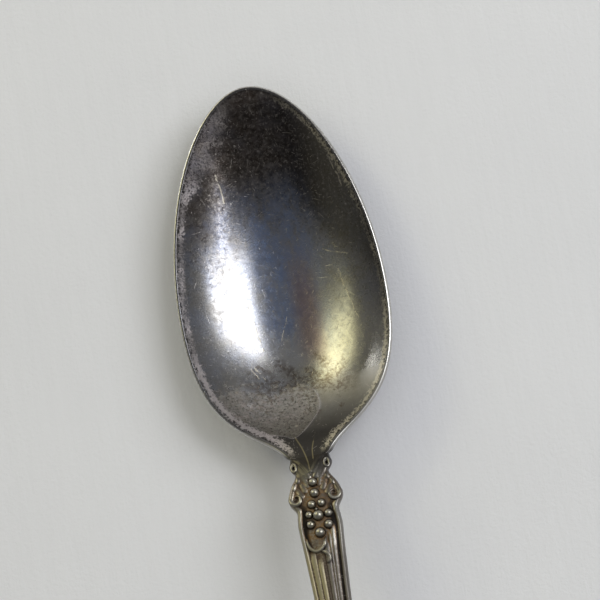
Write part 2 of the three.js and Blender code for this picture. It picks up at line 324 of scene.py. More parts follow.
def surfaces(x, station):
    """Heights of the top and the underside of the spoon."""
    top, fill, bowl_share = field_height(x, station)
    ridge_rise = smooth(SHOULDER_START - RIDGE_LENGTH, SHOULDER_START, station)
    keel = NECK_RIDGE * ridge_rise * (1 - smooth(0, RIDGE_HALF_WIDTH, np.abs(x)))
    bowl_wall = BOWL_WALL * (1 + RIM_GAIN * (1 - fill) ** 2) + keel
    wall = handle_thickness(station) * (1 - bowl_share) + bowl_wall * bowl_share
    reach = edge_distance(x, station)[0]

    def rounding(bowl_radius, handle_radius):
        near = np.clip(reach / (handle_radius + bowl_share * (bowl_radius - handle_radius)), 0, 1)
        return 1 - (1 - (1 - near) ** EDGE_SQUARENESS) ** (1 / EDGE_SQUARENESS)

    over = rounding(EDGE_RADIUS, HANDLE_EDGE_RADIUS)
    below = rounding(UNDER_EDGE_RADIUS, HANDLE_UNDER_RADIUS)
    under = np.maximum(top - wall * (1 - below * EDGE_SHARE), 0)
    stamped = relief(x, station) * (1 - over)
    return top - over * EDGE_SHARE * wall + stamped, under


def mesh_rows():
    """Rows of the whole mesh as (station, half width), even along the outline, and each zone's rows."""
    steps = np.hypot(np.diff(OUTLINE[:, 0]), np.diff(OUTLINE[:, 1]))
    run = np.concatenate([[0], np.cumsum(steps)])
    rows = [np.zeros((1, 2))]
    spans = {}
    for zone, following in zip(ZONES, ZONES[1:] + (None,)):
        first = np.interp(START[zone], OUTLINE[:, 0], run) if zone != "bowl" else 0
        last = np.interp(START[following], OUTLINE[:, 0], run) if following else run[-1]
        count = math.ceil((last - first) / ROW_STEP[zone])
        marks = np.linspace(first, last, count + 1)[1:]
        new = np.column_stack([np.interp(marks, run, OUTLINE[:, 0]), np.interp(marks, run, OUTLINE[:, 1])])
        new[-1, 0] = START[following] if following else LENGTH
        before = sum(len(part) for part in rows)
        rows.append(new)
        spans[zone] = slice(before - 1, before + len(new))
    return np.vstack(rows), spans


BOWL_SPINE = through([(0, TIP_SPINE), (20, 25.5), (BOWL_WIDEST, 47), (66, 61), (74, 69),
                      (NECK_START, NECK_START)])
END_SPINE = through([(END_START, 0), (END_START + 20, 0), (END_WIDEST, -2.5), (LENGTH, -7)])


def plan_grid(rows):
    """Plan points of the mesh: each row runs from the left edge over the spine to the right edge."""
    station, half = rows[:, 0:1], rows[:, 1:2]
    spine = np.where(station < NECK_START, BOWL_SPINE(station), station + END_SPINE(station))
    along = np.hypot(half, spine - station)
    tangent = np.gradient(rows, axis=0)
    tangent /= np.linalg.norm(tangent, axis=1, keepdims=True)
    facing = ((spine - station) * tangent[:, 1:2] + half * tangent[:, 0:1]) / along
    edge = np.array(EDGE_COLUMNS)[None, :] / (along * np.clip(facing, 0.5, 1))
    inner = edge[:, -1:] + (1 - edge[:, -1:]) * np.linspace(0, 1, FIELD_COLUMNS + 1)[None, 1:]
    share = np.hstack([edge, inner])
    x = half * (1 - share)
    u = station * (1 - share) + spine * share
    return np.hstack([-x, x[:, -2::-1]]), np.hstack([u, u[:, -2::-1]])


def skin_normals(top, under):
    """Normals of the top and the underside, worked out over the whole spoon so that zones meet unseen."""
    def wrapped(side, other):
        wide = np.concatenate([other[:, 1:2], side, other[:, -2:-1]], axis=1)
        tip, end = wide[1:2, ::-1], wide[-2:-1, ::-1]
        return np.concatenate([tip, wide, end], axis=0)

    found = []
    for side, other, way in ((top, under, 1), (under, top, -1)):
        around = wrapped(side, other)
        down = around[2:, 1:-1] - around[:-2, 1:-1]
        across = around[1:-1, 2:] - around[1:-1, :-2]
        normal = np.cross(down, across) * way
        size = np.linalg.norm(normal, axis=2, keepdims=True)
        middle = side.shape[1] // 2
        for row in (0, -1):
            normal[row, middle] = normal[row, middle - 1]
            size[row, middle] = size[row, middle - 1]
        found.append(normal / np.maximum(size, 1e-12))
    return found


def new_object(name, data):
    made = bpy.data.objects.new(name, data)
    bpy.context.scene.collection.objects.link(made)
    return made


def mark_points(mesh, name, values):
    layer = mesh.attributes.new(name, "FLOAT", "POINT")
    layer.data.foreach_set("value", values.astype(np.float32))


def zone_mesh(name, span, skin):
    """A closed mesh of one zone, cut square across the spoon where it meets its neighbours."""
    rows, columns = skin["top"][span].shape[:2]
    middle = columns // 2
    top_id = np.arange(rows * columns).reshape(rows, columns)
    under_id = top_id + rows * columns
    under_id[:, [0, -1]] = top_id[:, [0, -1]]
    folded = [row for row, zone in ((0, ZONES[0]), (-1, ZONES[-1])) if zone == name]
    for row in folded:
        for ids in (top_id, under_id):
            ids[row, middle + 1:] = ids[row, middle - 1::-1]
    quads = []
    for ids, way in ((top_id, 1), (under_id, -1)):
        corners = np.stack([ids[:-1, :-1], ids[1:, :-1], ids[1:, 1:], ids[:-1, 1:]], axis=-1).reshape(-1, 4)
        quads.append(corners[:, ::way])
    for row, way in ((0, 1), (-1, -1)):
        if row in folded:
            continue
        cap = np.stack([under_id[row, :-1], top_id[row, :-1], top_id[row, 1:], under_id[row, 1:]], axis=-1)
        quads.append(cap[:, ::way])
    quads = np.vstack(quads)
    used, quads = np.unique(quads, return_inverse=True)
    quads = quads.reshape(-1, 4)

    def both(values):
        return np.concatenate([values[0][span].reshape(rows * columns, -1),
                               values[1][span].reshape(rows * columns, -1)])[used]

    mesh = bpy.data.meshes.new(name)
    faces = [tuple(dict.fromkeys(quad)) for quad in quads.tolist()]
    mesh.from_pydata((both((skin["top"], skin["under"])) * MM).tolist(), [], faces)
    mesh.shade_smooth()
    mesh.normals_split_custom_set_from_vertices(both((skin["top_normal"], skin["under_normal"])).tolist())
    for mark, values in skin["marks"].items():
        mark_points(mesh, mark, both(values).ravel())
    return mesh


def hollows(height):
    """How deep each point lies under its surroundings, in millimetres."""
    level = height.copy()
    for _ in range(HOLLOW_PASSES):
        wide = np.pad(level, 1, mode="edge")
        level = (wide[:-2, 1:-1] + wide[2:, 1:-1] + wide[1:-1, :-2] + wide[1:-1, 2:]) / 4
    return level - height


def berry_foot_tarnish_and_shade(x, station):
    """One at the foot of a berry, none a little way from it: tarnish gathered there and painted contact
    shade.
    """
    near = np.zeros(x.shape)
    for across, place, radius in berry_places():
        reach = np.hypot(x - across, station - place) - radius
        near = np.maximum(near, np.exp(-np.maximum(reach, 0) / BERRY_SHADE))
    return near


def make_skin():
    rows, spans = mesh_rows()
    x, u = plan_grid(rows)
    top_z, under_z = surfaces(x, u)
    closed = (top_z + under_z) / 2
    for z in (top_z, under_z):
        z[:, [0, -1]] = closed[:, [0, -1]]
    top = np.stack([x, TIP_Y - u, top_z], axis=-1)
    under = np.stack([x, TIP_Y - u, under_z], axis=-1)
    top_normal, under_normal = skin_normals(top, under)
    reach = edge_distance(x, u)[0]
    zero = np.zeros_like(x)
    on_handle = smooth(*HANDLE_MARKS, u)
    stamped = relief(x, u)
    depth = hollows(stamped) / FULL_HOLLOW * on_handle
    sunk = np.clip(-stamped / GROUND_DEPTH, 0, 1)
    # tarnish in the hollows and the sunk ground, and painted contact shade at each berry's foot
    recess = 0.45 * np.clip(depth, 0, 1) + 0.4 * sunk + 0.55 * berry_foot_tarnish_and_shade(x, u) * on_handle
    stain = signed_reach(x, u, soft_line(STAIN_EDGE))
    beyond_throat = smooth(-0.3, 0.3, np.abs(x) - np.interp(u, *THROAT_TAPER)) * smooth(79, 80.2, u)
    olive = smooth(-0.2, 0.5, stain) * smooth(*OLIVE_START, u) * (1 - beyond_throat)
    olive = olive * (1 - smooth(*OLIVE_END, u))
    marks = {
        "rim": (reach, reach),
        "underside": (zero, zero + 1),
        "recess": (np.clip(recess, 0, 1), zero + 0.25),
        "high": (np.clip(-depth, 0, 1) * 0.4, zero),
        "stain": (stain, zero - FAR_AWAY),
        "olive": (olive, zero),
        "fold": (signed_reach(x, u, soft_line(FOLD)), zero + FAR_AWAY),
        "short_fold": (signed_reach(x, u, soft_line(SHORT_FOLD)), zero + FAR_AWAY),
    }
    skin = {"top": top, "under": under, "marks": marks, "top_normal": top_normal,
            "under_normal": under_normal}
    return {zone: zone_mesh(zone, spans[zone], skin) for zone in ZONES}


# Berries, scrolls and beads
def berry_places():
    """Each berry as (x, station, radius), at the shoulder and turned about at the handle's end."""
    return [(x * scale, place + way * along * scale, radius * scale)
            for place, way, scale in ((VOLUTE_STATION, 1, 1), (END_ORNAMENT, -1, END_SCALE))
            for along, x, radius in BERRIES]


def volute_line(side, place, scale, way):
    """A spiral drawn inward from the handle's edge, as points with a bead radius each."""
    turn = np.linspace(math.radians(-20 if scale == 1 else -95), VOLUTE_ENDS, LINE_POINTS)
    inward = np.linspace(0, 1, len(turn))
    reach = scale * (VOLUTE_COIL - VOLUTE_CLOSING * inward)
    x = VOLUTE_ACROSS * scale + reach * np.cos(turn)
    u = place + way * reach * np.sin(turn)
    thick = scale * (0.3 + 0.14 * smooth(0, 0.15, inward)) * (1 - 0.7 * smooth(0.3, 0.8, inward))
    if scale == 1:
        lead = np.linspace(VOLUTE_LEAD, u[0] - 0.2, 30)
        x = np.concatenate([np.sqrt(width_squared(lead)) - VOLUTE_INSET, x])
        u = np.concatenate([lead, u])
        thick = np.concatenate([np.linspace(0.12, thick[0], len(lead)), thick])
    thick[[0, -1]] = POINTED * scale
    level = field_height(x, u)[0] - VOLUTE_SINK
    return np.column_stack([side * x, u, level, thick])


def ring_line(side):
    turn = np.linspace(0, 2 * math.pi, 33)[:-1]
    x = side * (RING_ACROSS + RING_PATH[0] * np.cos(turn))
    u = RING_STATION + RING_PATH[1] * np.sin(turn)
    return np.column_stack([x, u, field_height(x, u)[0] + RING_LIFT, np.full(len(turn), RING_THICKNESS)])


def tapered_line(points, thick):
    line = soft_line(points, 48)
    along = np.linspace(-1, 1, len(line))
    radius = thick * (0.3 + 0.7 * (1 - along ** 4))
    x, u = line.T
    level = field_height(x, u)[0] + relief(x, u) + radius * CURL_LIFT
    return np.column_stack([x, u, level, radius])


def line_mesh(name, lines, closed=False):
    """A mesh of bare edges with a thickness on each point, for beads to follow."""
    mesh = bpy.data.meshes.new(name)
    points = np.vstack(lines)
    edges, first = [], 0
    for line in lines:
        last = first + len(line) - 1
        edges += [(k, k + 1) for k in range(first, last)]
        if closed:
            edges.append((last, first))
        first = last + 1
    places = np.column_stack([points[:, 0], TIP_Y - points[:, 1], points[:, 2]]) * MM
    mesh.from_pydata(places.tolist(), edges, [])
    mark_points(mesh, "thickness", points[:, 3] * MM)
    return mesh


def point_mesh(name, places):
    mesh = bpy.data.meshes.new(name)
    x, u, radius = np.array(places, float).T
    level = field_height(x, u)[0] - GROUND_DEPTH + BERRY_LIFT * radius
    mesh.from_pydata((np.column_stack([x, TIP_Y - u, level]) * MM).tolist(), [], [])
    mark_points(mesh, "thickness", radius * MM)
    return mesh


def growing_tree(name):
    """The start of a Geometry Nodes tree: the tree, its inputs and the thickness of each point."""
    tree = bpy.data.node_groups.new(name, "GeometryNodeTree")
    for socket, way, kind in (("Geometry", "INPUT", "Geometry"), ("Detail", "INPUT", "Int"),
                              ("Material", "INPUT", "Material"), ("Geometry", "OUTPUT", "Geometry")):
        tree.interface.new_socket(socket, in_out=way, socket_type="NodeSocket" + kind)
    thickness = tree.nodes.new("GeometryNodeInputNamedAttribute")
    thickness.data_type = "FLOAT"
    thickness.inputs["Name"].default_value = "thickness"
    return tree, tree.nodes.new("NodeGroupInput").outputs, thickness.outputs["Attribute"]


def finish_tree(tree, given, geometry):
    """Smooths what was grown, realizes it and gives it its material."""
    new, link = tree.nodes.new, tree.links.new
    smoothed = new("GeometryNodeSetShadeSmooth")
    realize = new("GeometryNodeRealizeInstances")
    painted = new("GeometryNodeSetMaterial")
    link(geometry, smoothed.inputs["Geometry"])
    link(smoothed.outputs["Geometry"], realize.inputs["Geometry"])
    link(realize.outputs["Geometry"], painted.inputs["Geometry"])
    link(given["Material"], painted.inputs["Material"])
    link(painted.outputs["Geometry"], new("NodeGroupOutput").inputs["Geometry"])


def bead_tree():
    tree, given, thickness = growing_tree("beads_along_lines")
    new, link = tree.nodes.new, tree.links.new
    curve = new("GeometryNodeMeshToCurve")
    sized = new("GeometryNodeSetCurveRadius")
    profile = new("GeometryNodeCurvePrimitiveCircle")
    swept = new("GeometryNodeCurveToMesh")
    profile.inputs["Radius"].default_value = 1
    swept.inputs["Fill Caps"].default_value = True
    link(given["Geometry"], curve.inputs["Mesh"])
    link(curve.outputs["Curve"], sized.inputs["Curve"])
    link(thickness, sized.inputs["Radius"])
    link(given["Detail"], profile.inputs["Resolution"])
    link(sized.outputs["Curve"], swept.inputs["Curve"])
    link(profile.outputs["Curve"], swept.inputs["Profile Curve"])
    if "Scale" in swept.inputs:
        link(new("GeometryNodeInputRadius").outputs["Radius"], swept.inputs["Scale"])
    finish_tree(tree, given, swept.outputs["Mesh"])
    return tree


def berry_tree():
    tree, given, thickness = growing_tree("berries_on_points")
    new, link = tree.nodes.new, tree.links.new
    ball = new("GeometryNodeMeshIcoSphere")
    placed = new("GeometryNodeInstanceOnPoints")
    ball.inputs["Radius"].default_value = 1
    link(given["Geometry"], placed.inputs["Points"])
    link(given["Detail"], ball.inputs["Subdivisions"])
    link(ball.outputs["Mesh"], placed.inputs["Instance"])
    link(thickness, placed.inputs["Scale"])
    finish_tree(tree, given, placed.outputs["Instances"])
    return tree


def grow(name, base, tree, detail, material):
    """Runs a Geometry Nodes tree over a base mesh and keeps the result as a plain mesh."""
    holder = new_object(name, base)
    modifier = holder.modifiers.new(name, "NODES")
    modifier.node_group = tree
    sockets = {item.name: item.identifier for item in tree.interface.items_tree if item.in_out == "INPUT"}
    modifier[sockets["Detail"]] = detail
    modifier[sockets["Material"]] = material
    seen = holder.evaluated_get(bpy.context.evaluated_depsgraph_get())
    mesh = bpy.data.meshes.new_from_object(seen)
    bpy.data.objects.remove(holder)
    places = np.zeros(3 * len(mesh.vertices))
    mesh.vertices.foreach_get("co", places)
    x, y, z = places.reshape(-1, 3).T / MM
    above = z - field_height(x, TIP_Y - y)[0] + GROUND_DEPTH
    # low parts of beads and berries, next to the ground, get the recess mark: tarnish there and painted
    # contact shade
    marks = {"recess": 1 - smooth(0.1, 0.5, above), "high": 1.3 * smooth(0.35, 0.75, above)}
    for mark, values in marks.items():
        mark_points(mesh, mark, values)
    return mesh


# Finishes
BRIGHT_SILVER = (0.60, 0.585, 0.56, 1)
GREY_TARNISH = (0.17, 0.165, 0.165, 1)
BLUE_TARNISH = (0.22, 0.29, 0.47, 1)
BROWN_TARNISH = (0.115, 0.085, 0.065, 1)
OLIVE_TARNISH = (0.24, 0.222, 0.17, 1)
RUDDY_TARNISH = (0.33, 0.22, 0.19, 1)
AMBER_TARNISH = (0.25, 0.155, 0.075, 1)
PINK_FILM = (0.50, 0.44, 0.41, 1)
STRAW_FILM = (0.56, 0.51, 0.40, 1)
LILAC_FILM = (0.627, 0.571, 0.56, 1)
STAIN_FILM = (0.381, 0.358, 0.28, 1)
# gold of the worn fold lines, and the painted warm reflection on the handle's left
GOLD_WEAR_AND_WARM_REFLECTION = (0.47, 0.40, 0.21, 1)
# painted cool reflection on the handle's right
LILAC_COOL_REFLECTION = (0.13, 0.11, 0.125, 1)
WARM_SILVER = (0.55, 0.52, 0.42, 1)
PALE_FILM = (0.46, 0.42, 0.38, 1)
# near black of pits and bitten tarnish, also used for painted shade: the dark reflection at the bowl's tip
# and the contact shade at the berries' feet
PIT_AND_SHADE_BLACK = (0.02, 0.017, 0.015, 1)
FLOOR_DARK = (0.585, 0.585, 0.60, 1)
FLOOR_LIGHT = (0.725, 0.725, 0.735, 1)
BITE_DEPTH = 0.00002
FIBRE_DEPTH = 0.0001
FLAT = (1, 1, 0)
# where the bowl's finish begins along the spoon
BOWL_FADE = (26.4, 28.6)
# long scratches in the bowl: (x, y) of both ends, then a width
LONG_SCRATCHES = (
    ((10.0, 70.8), (15.1, 68.3), 0.16), ((12.6, 66.1), (13.8, 59.7), 0.18),
    ((13.8, 59.7), (15.1, 54.5), 0.16), ((-9.0, 89.7), (-8.2, 83.8), 0.2),
    ((-7.6, 62.4), (-6.0, 51.9), 0.16), ((0.0, 58.4), (-2.0, 53.3), 0.14),
    ((-9.0, 48.4), (-7.6, 46.0), 0.2), ((-8.3, 48.7), (-6.9, 46.2), 0.2),
    ((-7.5, 47.6), (-6.6, 45.6), 0.16), ((15.0, 88.5), (16.9, 81.8), 0.2),
)


class Value:
    """What a node puts out; sums, products and layers of values add the nodes that work them out."""

    def __init__(self, nodes, socket):
        self.nodes = nodes
        self.socket = socket

    def __add__(self, other):
        return self.nodes.math("ADD", self, other)

    def __sub__(self, other):
        return self.nodes.math("SUBTRACT", self, other)

    def __rsub__(self, other):
        return self.nodes.math("SUBTRACT", other, self)

    def __mul__(self, other):
        return self.nodes.math("MULTIPLY", self, other)

    def __truediv__(self, other):
        return self.nodes.math("DIVIDE", self, other)

    def __rtruediv__(self, other):
        return self.nodes.math("DIVIDE", other, self)

    def __abs__(self):
        return self.nodes.math("ABSOLUTE", self)

    def clamped(self):
        return self.nodes.math("MAXIMUM", self.nodes.math("MINIMUM", self, 1), 0)

    def step(self, low, high, to_low=0.0, to_high=1.0):
        """Runs smoothly from one number to another while this value goes from low to high."""
        node = self.nodes.add("ShaderNodeMapRange", interpolation_type="SMOOTHSTEP")
        return self.nodes.joined(node, (self, low, high, to_low, to_high))

    def coated(self, color, share):
        """This colour with another laid over it."""
        return self.nodes.mix(share, self, color)


class Nodes:
    """Adds nodes to one shader tree and joins them up."""

    def __init__(self, tree):
        self.tree = tree

    def add(self, kind, **settings):
        node = self.tree.nodes.new(kind)
        for name, value in settings.items():
            setattr(node, name, value)
        return node

    def feed(self, socket, value):
        if isinstance(value, Value):
            self.tree.links.new(value.socket, socket)
        else:
            socket.default_value = value

    def joined(self, node, values, output=0):
        for socket, value in zip(node.inputs, values):
            self.feed(socket, value)
        return Value(self, node.outputs[output])

    def named(self, sockets):
        return {socket.name: Value(self, socket) for socket in sockets}

    def math(self, operation, *values):
        return self.joined(self.add("ShaderNodeMath", operation=operation), values)

    def most(self, *values):
        result = values[0]
        for value in values[1:]:
            result = self.math("MAXIMUM", result, value)
        return result

    def mix(self, share, plain, laid):
        node = self.add("ShaderNodeMix", data_type="RGBA")
        for index, value in ((0, share), (6, plain), (7, laid)):
            self.feed(node.inputs[index], value)
        return Value(self, node.outputs[2])

    def vector(self, operation, *values, output=0):
        return self.joined(self.add("ShaderNodeVectorMath", operation=operation), values, output)

    def scaled(self, vector, factor):
        node = self.add("ShaderNodeVectorMath", operation="SCALE")
        self.feed(node.inputs["Scale"], factor)
        return self.joined(node, (vector,))

    def noise(self, where, scale, detail=3.0, roughness=0.55, distortion=0.0, output=0):
        node = self.add("ShaderNodeTexNoise")
        names = ("Vector", "Scale", "Detail", "Roughness", "Distortion")
        for name, value in zip(names, (where, scale, detail, roughness, distortion)):
            self.feed(node.inputs[name], value)
        return Value(self, node.outputs[output])

    def cells(self, where, spacing, **settings):
        node = self.add("ShaderNodeTexVoronoi", **settings)
        self.feed(node.inputs["Vector"], where)
        self.feed(node.inputs["Scale"], 1 / spacing)
        return self.named(node.outputs)

    def attribute(self, name):
        return Value(self, self.add("ShaderNodeAttribute", attribute_name=name).outputs["Fac"])

    def where(self):
        """Place on the spoon, in millimetres."""
        place = self.add("ShaderNodeTexCoord").outputs["Object"]
        return self.scaled(Value(self, place), 1 / MM)

    def parts(self, vector):
        split = self.add("ShaderNodeSeparateXYZ")
        self.feed(split.inputs[0], vector)
        return [Value(self, socket) for socket in split.outputs]

    def group(self, tree, **values):
        node = self.add("ShaderNodeGroup", node_tree=tree)
        for name, value in values.items():
            self.feed(node.inputs[name], value)
        return self.named(node.outputs)


def shader_group(name, inputs, outputs):
    tree = bpy.data.node_groups.new(name, "ShaderNodeTree")
    for way, sockets in (("INPUT", inputs), ("OUTPUT", outputs)):
        for socket, kind in sockets.items():
            tree.interface.new_socket(socket, in_out=way, socket_type="NodeSocket" + kind)
    nodes = Nodes(tree)
    return nodes, nodes.named(nodes.add("NodeGroupInput").outputs), nodes.add("NodeGroupOutput").inputs


def scratch_group():
    """Short straight scratches lying every way, about one in each cell of the given spacing."""
    nodes, given, result = shader_group(
        "scratches", {"Where": "Vector", "Spacing": "Float", "Width": "Float"}, {"Mask": "Float"})
    flat = nodes.vector("MULTIPLY", given["Where"], FLAT)
    cells = nodes.cells(flat, given["Spacing"], voronoi_dimensions="2D")
    chance = nodes.parts(cells["Color"])
    turned = nodes.add("ShaderNodeVectorRotate", rotation_type="Z_AXIS")
    nodes.feed(turned.inputs["Vector"], nodes.vector("SUBTRACT", flat, cells["Position"]))
    nodes.feed(turned.inputs["Angle"], chance[0] * (2 * math.pi))
    along, across, _ = nodes.parts(Value(nodes, turned.outputs[0]))
    bowed = along * along * 0.06 + across
    half_length = given["Spacing"] * (chance[1] * 0.35 + 0.12)
    thin = 1 - abs(bowed).step(0, given["Width"])
    short = 1 - (abs(along) / half_length).step(0.4, 1)
    nodes.feed(result["Mask"], thin * short * chance[2].step(0.35, 0.9))
    return nodes.tree


def line_group():
    """A long fine scratch from one place to another, slightly wandering."""
    nodes, given, result = shader_group(
        "line_mark", {"Where": "Vector", "From": "Vector", "To": "Vector", "Width": "Float"},
        {"Mask": "Float"})
    where = given["Where"]
    wander = nodes.noise(where, 0.45, 2, 0.5, output="Color")
    shifted = nodes.vector("ADD", where, nodes.vector("MULTIPLY", wander, (0.9, 0.9, 0)))
    start = nodes.vector("MULTIPLY", nodes.vector("SUBTRACT", shifted, given["From"]), FLAT)
    run = nodes.vector("MULTIPLY", nodes.vector("SUBTRACT", given["To"], given["From"]), FLAT)
    reach = nodes.vector("DOT_PRODUCT", start, run, output="Value")
    share = reach / nodes.vector("DOT_PRODUCT", run, run, output="Value")
    away = nodes.vector("DISTANCE", start, nodes.scaled(run, share.clamped()), output="Value")
    thin = 1 - away.step(0, given["Width"])
    nodes.feed(result["Mask"], thin * nodes.noise(where, 1.3).step(0.35, 0.55))
    return nodes.tree


def speck_group():
    """Round specks of uneven size, scattered about one to a cell."""
    nodes, given, result = shader_group("specks", {"Where": "Vector", "Spacing": "Float"}, {"Mask": "Float"})
    cells = nodes.cells(given["Where"], given["Spacing"])
    chance = nodes.parts(cells["Color"])
    size = nodes.math("POWER", chance[0], 3) * 0.22 + 0.05
    dot = 1 - (cells["Distance"] / size).step(0.4, 1)
    nodes.feed(result["Mask"], dot * chance[1].step(0.3, 0.7))
    return nodes.tree


def fold_group():
    """The two fold lines running from the bowl into the neck, from the distances to them."""
    nodes, given, result = shader_group("fold_lines", {"Long": "Float", "Short": "Float"}, {"Mask": "Float"})
    mask = nodes.most(abs(given["Long"]).step(0.2, 0.04), abs(given["Short"]).step(0.18, 0.04))
    nodes.feed(result["Mask"], mask)
    return nodes.tree


def tarnish_group():
    """Old tarnish: clouds of hue over the silver, fine mottling and grain."""
    nodes, given, result = shader_group(
        "tarnish", {"Where": "Vector", "Amount": "Float", "Brown": "Float"},
        {"Color": "Color", "Mottle": "Float", "Grain": "Float"})
    where, amount = given["Where"], given["Amount"]
    cloud = nodes.noise(where, 0.11, 5, 0.6, 0.6)
    mottle = nodes.noise(where, 0.8, 6, 0.68, 0.3)
    grain = nodes.noise(where, 4.5, 3, 0.7)
    brown = (given["Brown"] + cloud.step(0.35, 0.65, -0.12, 0.15)).clamped()
    bluish = nodes.noise(where, 0.16, 4, 0.6).step(0.35, 0.65, 0, 0.5)
    film = nodes.mix(bluish, GREY_TARNISH, BLUE_TARNISH).coated(BROWN_TARNISH, brown)
    laid = (amount + mottle.step(0.3, 0.7, -0.1, 0.1) + grain.step(0.3, 0.7, -0.09, 0.09)).clamped()
    bitten = mottle.step(0.45, 0.65, 0, 0.5) + grain.step(0.5, 0.68, 0, 0.4)
    film = film.coated(PIT_AND_SHADE_BLACK, bitten * amount.step(0.45, 0.85, 0.35, 1))
    lifted = mottle.step(0.46, 0.36) * grain.step(0.52, 0.4) * 0.35
    nodes.feed(result["Color"], nodes.mix(laid, BRIGHT_SILVER, film.coated(PALE_FILM, lifted)))
    nodes.feed(result["Mottle"], mottle)
    nodes.feed(result["Grain"], grain)
    return nodes.tree


def recess_group():
    """Brown and amber tarnish left in the hollows of the ornament, with painted contact shade at the berries'
    feet, rubbed away on its high places.
    """
    nodes, given, result = shader_group(
        "recess_tarnish", {"Color": "Color", "Where": "Vector", "Recess": "Float", "High": "Float",
                           "Rub": "Float", "Warm": "Color"},
        {"Color": "Color", "Dark": "Float"})
    where, recess = given["Where"], given["Recess"]
    fine = nodes.noise(where, 2.6, 4, 0.65)
    dark = (recess + fine.step(0.3, 0.7, -0.16, 0.16)).step(0.12, 0.62)
    warm = given["Warm"].coated(BROWN_TARNISH, nodes.noise(where, 0.55, 4, 0.6).step(0.4, 0.62))
    warm = warm.coated(PIT_AND_SHADE_BLACK, recess.step(0.5, 0.85))
    coloured = given["Color"].coated(OLIVE_TARNISH, 0.5).coated(warm, dark)
    rubbed = (given["High"] - fine * 0.5).step(0.1, 0.9) * given["Rub"]
    nodes.feed(result["Color"], coloured.coated(WARM_SILVER, rubbed))
    nodes.feed(result["Dark"], dark)
    return nodes.tree


def new_finish(name):
    material = bpy.data.materials.new(name)
    material.use_nodes = True
    nodes = Nodes(material.node_tree)
    return material, nodes, material.node_tree.nodes["Principled BSDF"]


def add_bump(nodes, shader, height, distance):
    bump = nodes.add("ShaderNodeBump")
    bump.inputs["Distance"].default_value = distance
    nodes.feed(bump.inputs["Height"], height)
    nodes.tree.links.new(bump.outputs["Normal"], shader.inputs["Normal"])


def finish_silver(nodes, shader, color, roughness, height):
    shader.inputs["Metallic"].default_value = 1
    nodes.feed(shader.inputs["Base Color"], color)
    nodes.feed(shader.inputs["Roughness"], roughness)
    add_bump(nodes, shader, height, BITE_DEPTH)


def fold_mask(nodes, groups):
    marks = {"Long": nodes.attribute("fold"), "Short": nodes.attribute("short_fold")}
    return nodes.group(groups["fold_lines"], **marks)["Mask"]


